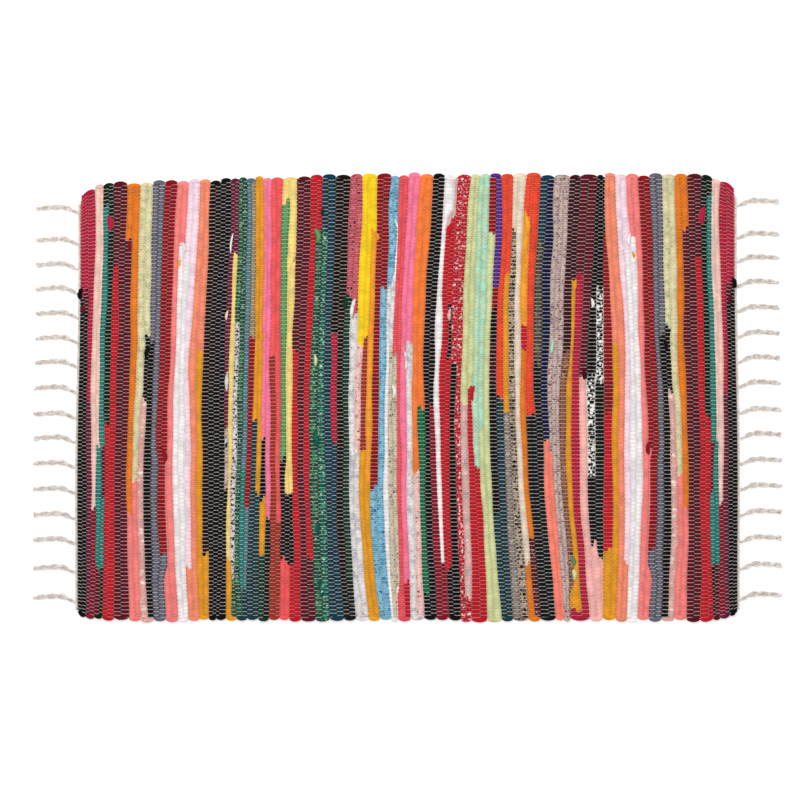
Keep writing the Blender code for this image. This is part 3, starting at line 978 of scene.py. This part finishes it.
def end_x(side, y):
    """X of the weave's left or right end at y."""
    thread = (FAR_EDGE_LEFT - y) / (FAR_EDGE_LEFT - NEAR_EDGE) * (THREADS - 1)
    return side_x(0 if side < 0 else ROWS, thread)


def lay_heading(lines, side):
    """Lays the picks of cream yarn that close the weave's end."""
    threads = np.arange(0, THREADS - 0.9, 1.0)
    for pick in range(HEADING_PICKS):
        out = PART_GAP + HEADING_PITCH * (pick + 0.5)
        x = side_x(0 if side < 0 else ROWS, threads) + side * out
        z = HEADING_YARN_Z - HEADING_YARN_WAVE * np.cos(math.pi * (threads + pick))
        lines.add(np.stack([x, weave_y(x, threads), z], axis=1), thickness=HEADING_YARN_RADIUS)


def lay_tassel(lines, side, across_mm):
    """Lays the middle line of one tassel, with its radius at each point."""
    out, offset, radius = np.array(TASSEL_SECTIONS_MM).T * MM
    root_y = across_mm * MM + offset[0]
    x = end_x(side, root_y) + side * (PART_GAP + HEADING_WIDTH + out)
    y = across_mm * MM + offset + draw.normal(0, TASSEL_SWAY) * np.sin(out / out[-1] * 3)
    z = radius + FLOOR_GAP
    lines.add(np.stack([x, y, z], axis=1), thickness=radius, phase=draw.uniform(0, 1))


# What part of the tassel's radius its plies lie out from its middle line, its yarns from their
# ply's, and a yarn is thick. The shortest yarn has this share of the length.
PLY_REACH = 0.46
YARN_REACH = 0.36
YARN_SHARE = 0.25
SHORTEST_YARN = 0.97


def tassel_tree():
    """Twists plies round each line, and yarns round each ply, and sweeps the yarns."""
    tree, given = start_tree("tassel twisted from plies", {
        "Plies": "NodeSocketInt", "Yarns": "NodeSocketInt", "Ply turns a metre": "NodeSocketFloat",
        "Yarn turns a metre": "NodeSocketFloat", "Steps": "NodeSocketInt", "Sides": "NodeSocketInt",
        "Seed": "NodeSocketInt", "Cloth": "NodeSocketMaterial"})
    lines = add_node(tree, "GeometryNodeMeshToCurve", {"Mesh": given["Geometry"]}).outputs[0]
    lines = add_node(tree, "GeometryNodeCurveSplineType", {"Curve": lines},
                     spline_type="CATMULL_ROM").outputs[0]
    lines = add_node(tree, "GeometryNodeResampleCurve",
                     {"Curve": lines, "Count": given["Steps"]}).outputs[0]
    along = add_node(tree, "GeometryNodeInputTangent").outputs[0]
    side = vector_maths(tree, "NORMALIZE", vector_maths(tree, "CROSS_PRODUCT", along, (0, 0, 1)))
    over = vector_maths(tree, "CROSS_PRODUCT", side, along)
    length = add_node(tree, "GeometryNodeSplineParameter").outputs["Length"]

    def wound(geometry, count, turns, share):
        """Doubles each line into strands that wind round it at a share of its thickness."""
        strands = add_node(tree, "GeometryNodeDuplicateElements",
                           {"Geometry": geometry, "Amount": count}, domain="SPLINE")
        turn = maths(tree, "DIVIDE", strands.outputs["Duplicate Index"], count)
        turn = maths(tree, "ADD", turn, maths(tree, "MULTIPLY", length, turns))
        turn = maths(tree, "MULTIPLY", maths(tree, "ADD", turn, value_at(tree, "phase")), 2 * math.pi)
        reach = maths(tree, "MULTIPLY", value_at(tree, "thickness"), share)
        shift = vector_maths(
            tree, "ADD",
            vector_maths(tree, "SCALE", side, maths(tree, "MULTIPLY", maths(tree, "COSINE", turn), reach)),
            vector_maths(tree, "SCALE", over, maths(tree, "MULTIPLY", maths(tree, "SINE", turn), reach)))
        return add_node(tree, "GeometryNodeSetPosition",
                        {"Geometry": strands.outputs["Geometry"], "Offset": shift}).outputs[0]

    plies = wound(lines, given["Plies"], given["Ply turns a metre"], PLY_REACH)
    yarns = wound(plies, given["Yarns"], given["Yarn turns a metre"], YARN_REACH)
    index = add_node(tree, "GeometryNodeInputIndex").outputs[0]
    end = add_node(tree, "FunctionNodeRandomValue",
                   {2: SHORTEST_YARN, 3: 1.0, "ID": index, "Seed": given["Seed"]})
    yarns = add_node(tree, "GeometryNodeTrimCurve", {"Curve": yarns, "End": end.outputs[1]}).outputs[0]
    ring = section_ring(tree, given["Sides"], 0.0)
    scale = maths(tree, "MULTIPLY", value_at(tree, "thickness"), YARN_SHARE)
    swept = add_node(tree, "GeometryNodeCurveToMesh",
                     {"Curve": yarns, "Profile Curve": ring, "Scale": scale, "Fill Caps": True}).outputs[0]
    finish_tree(tree, swept, given["Cloth"])
    return tree


tassel_cotton = warp_material("unbleached cotton yarn, twisted in tassels", "#F6F0EA", "#D6CBC0")
twisted = tassel_tree()
heading_pieces = []
for end, side, tassels_mm in (("left", -1, LEFT_TASSELS_MM), ("right", 1, RIGHT_TASSELS_MM)):
    picks = Lines()
    lay_heading(picks, side)
    heading = picks.to_object("heading_" + end)
    make_plain_mesh(heading, laid_thread, {"Sides": 6, "Cloth": tassel_cotton})
    ropes = Lines()
    for across_mm in tassels_mm:
        lay_tassel(ropes, side, across_mm)
    tassels = ropes.to_object("tassels_" + end)
    make_plain_mesh(tassels, twisted, {
        "Plies": 2, "Yarns": 5, "Ply turns a metre": 34.0, "Yarn turns a metre": -60.0, "Steps": 27,
        "Sides": 3, "Seed": 3, "Cloth": tassel_cotton})
    for piece in (heading, tassels):
        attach(piece, "root")
        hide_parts("fringe_" + end)
        heading_pieces.append(piece)


# The weave's pieces lie flat on the floor. The three lengths of rag weft and the warp are
# attached to the root like the headings and the tassels, and the imported body is hidden.
for piece in warp_pieces:
    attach(piece, "root")
    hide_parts("woven_body")
for (name, rows), piece in zip(RAG_PIECES.items(), rag_pieces):
    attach(piece, "root")
    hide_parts("woven_body")


# The floor is plain and near white, and the light is a wide soft panel overhead, a little to
# the far side, with a weak one low on the near side and a pale even surround.
def studio():
    bpy.ops.mesh.primitive_plane_add(size=8.0, location=(0, 0, 0))
    floor = bpy.context.object
    floor.name = "floor"
    material = bpy.data.materials.new("matt white studio floor")
    material.use_nodes = True
    paint = material.node_tree.nodes["Principled BSDF"]
    paint.inputs["Base Color"].default_value = linear("#FAFAFA")
    paint.inputs["Roughness"].default_value = 1.0
    paint.inputs["Emission Color"].default_value = (1, 1, 1, 1)
    paint.inputs["Emission Strength"].default_value = 0.25
    floor.data.materials.append(material)
    for name, place, size, power in (
            ("overhead panel", (-0.5, 1.1, 2.2), 1.6, 34.0),
            ("low fill", (1.0, -1.6, 1.6), 1.6, 8.0)):
        lamp = bpy.data.lights.new(name, "AREA")
        lamp.size = size
        lamp.energy = power
        holder = bpy.data.objects.new(name, lamp)
        holder.location = place
        holder.rotation_euler = (-holder.location).to_track_quat("-Z", "Y").to_euler()
        bpy.context.scene.collection.objects.link(holder)
    world = bpy.data.worlds.new("pale surround")
    world.use_nodes = True
    world.node_tree.nodes["Background"].inputs["Color"].default_value = (1, 1, 1, 1)
    world.node_tree.nodes["Background"].inputs["Strength"].default_value = 0.62
    bpy.context.scene.world = world
    bpy.context.scene.view_settings.view_transform = "Standard"


# The camera looks straight down, from far enough off that the rug shows no perspective.
VIEW_WIDTH = 1.0905
CAMERA_HEIGHT = 6.0
VIEW_CENTRE = (-0.0102, -0.0034)


def overhead_camera():
    camera = bpy.data.cameras.new("overhead camera")
    camera.lens = camera.sensor_width * CAMERA_HEIGHT / VIEW_WIDTH
    camera.clip_end = 20.0
    holder = bpy.data.objects.new("overhead camera", camera)
    holder.location = (*VIEW_CENTRE, CAMERA_HEIGHT)
    bpy.context.scene.collection.objects.link(holder)
    bpy.context.scene.camera = holder


studio()
overhead_camera()
